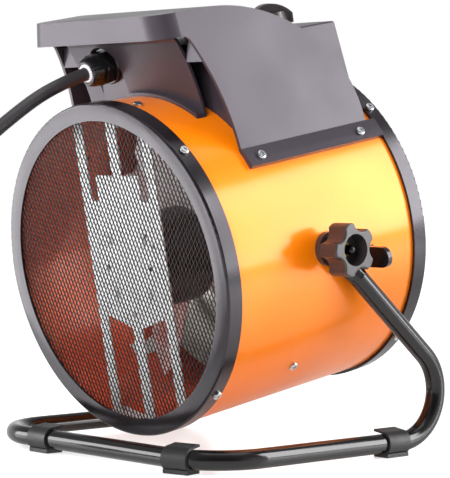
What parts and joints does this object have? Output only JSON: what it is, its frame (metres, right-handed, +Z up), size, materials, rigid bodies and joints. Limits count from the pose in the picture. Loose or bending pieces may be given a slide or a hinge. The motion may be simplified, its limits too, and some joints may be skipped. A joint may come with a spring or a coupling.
{
  "type": "forced air heater",
  "caption": "Drum-shaped electric fan heater that tilts on a bent tube stand, with a carrying cover, two selector knobs and a coiled supply cord.",
  "frame": {"origin": "on the floor, under the middle of the heater and its stand", "axes": "+Z up, +X along the airflow towards the outlet, +Y to the far side"},
  "size_m": [0.569, 0.3643, 0.3746],
  "materials": {
    "stand_paint": "gloss black powder coat",
    "foot_rubber": "moulded matt black",
    "drum_paint": "gloss orange powder coat",
    "trim_black": "satin black",
    "cover_black": "satin moulded black",
    "grille_paint": "semi-gloss black expanded metal",
    "guard_wire": "semi-gloss black wire",
    "galvanised": "galvanised sheet",
    "screw_zinc": "bright zinc",
    "motor_shell": "semi-gloss black enamel",
    "black_steel": "phosphated dark steel",
    "laminations": "stacked sheet steel",
    "bright_steel": "turned steel",
    "fan_sheet": "pressed sheet",
    "element_sheath": "heat-browned steel",
    "ceramic": "white ceramic",
    "shield_sheet": "aluminised sheet",
    "switch_plastic": "matt dark grey",
    "terminal_plastic": "matt off-white",
    "copper": "drawn copper",
    "knob_black": "satin moulded black",
    "insert_brass": "turned",
    "gland_black": "satin moulded black",
    "cord_rubber": "satin rubber sheath",
    "tie_fabric": "woven hook-and-loop tape",
    "plug_rubber": "matt moulded rubber",
    "pin_brass": "nickel-bright brass"
  },
  "bodies": {
    "stand": {"stand_tube": "stand_paint", "foot_clips": "foot_rubber", "power_cord": "cord_rubber", "cord_coil": "cord_rubber", "cord_tie": "tie_fabric", "plug_body": "plug_rubber", "plug_pins": "pin_brass"},
    "fan_rotor": {"motor_shaft": "bright_steel", "motor_rotor": "laminations", "fan": "fan_sheet", "fan_nut": "screw_zinc"},
    "mode_selector": {"mode_shaft": "bright_steel", "mode_knob": "knob_black"},
    "thermostat_selector": {"thermostat_shaft": "bright_steel", "thermostat_knob": "knob_black"},
    "clamp_near": {"clamp_knob_near": "knob_black", "knob_insert_near": "insert_brass"},
    "clamp_far": {"clamp_knob_far": "knob_black", "knob_insert_far": "insert_brass"},
    "heater": {"drum_shell": "drum_paint", "intake_ring": "trim_black", "outlet_ring": "trim_black", "ring_screws": "screw_zinc", "intake_grille": "grille_paint", "outlet_guard": "guard_wire", "motor_bracket": "galvanised", "bracket_screws": "screw_zinc", "motor_posts": "bright_steel", "motor_screws": "screw_zinc", "motor_can": "motor_shell", "motor_front_cap": "motor_shell", "motor_back_cap": "motor_shell", "motor_stator": "laminations", "motor_bearings": "bright_steel", "heat_shield": "shield_sheet", "shield_tabs": "galvanised", "shield_screws": "screw_zinc", "heating_element_inner": "element_sheath", "heating_element_middle": "element_sheath", "heating_element_outer": "element_sheath", "element_insulators": "ceramic", "element_supports": "galvanised", "thermal_cutout": "switch_plastic", "handle_cover": "cover_black", "cover_screws": "screw_zinc", "scoop_wall": "cover_black", "gland_body": "gland_black", "gland_nut": "gland_black", "gland_locknut": "gland_black", "control_box": "cover_black", "mode_switch": "switch_plastic", "thermostat_switch": "switch_plastic", "thermostat_bulb": "copper", "terminal_block": "terminal_plastic", "pivot_spacers": "knob_black", "pivot_bolts": "black_steel", "tilt_stops": "trim_black"}
  },
  "joints": [
    {"name": "tilt", "type": "hinge", "parent": "stand", "child": "heater", "pos_m": [0.0027, 0, 0.1725], "axis": [0, 1, 0], "range_deg": [-10, 10], "deforming": ["power_cord"]},
    {"name": "fan_spin", "type": "hinge", "parent": "heater", "child": "fan_rotor", "pos_m": [-0.01995, 0, 0.16851], "axis": [0.9848, 0, 0.1736], "continuous": true},
    {"name": "mode_turn", "type": "hinge", "parent": "heater", "child": "mode_selector", "pos_m": [0.02665, -0.042, 0.35341], "axis": [-0.1736, 0, 0.9848], "range_deg": [0, 135]},
    {"name": "thermostat_turn", "type": "hinge", "parent": "heater", "child": "thermostat_selector", "pos_m": [0.02665, 0.042, 0.35341], "axis": [-0.1736, 0, 0.9848], "range_deg": [0, 270]},
    {"name": "clamp_near_turn", "type": "hinge", "parent": "heater", "child": "clamp_near", "pos_m": [0.0027, -0.15, 0.1725], "axis": [0, -1, 0], "range_deg": [0, 720]},
    {"name": "clamp_far_turn", "type": "hinge", "parent": "heater", "child": "clamp_far", "pos_m": [0.0027, 0.15, 0.1725], "axis": [0, 1, 0], "range_deg": [0, 720]}
  ]
}
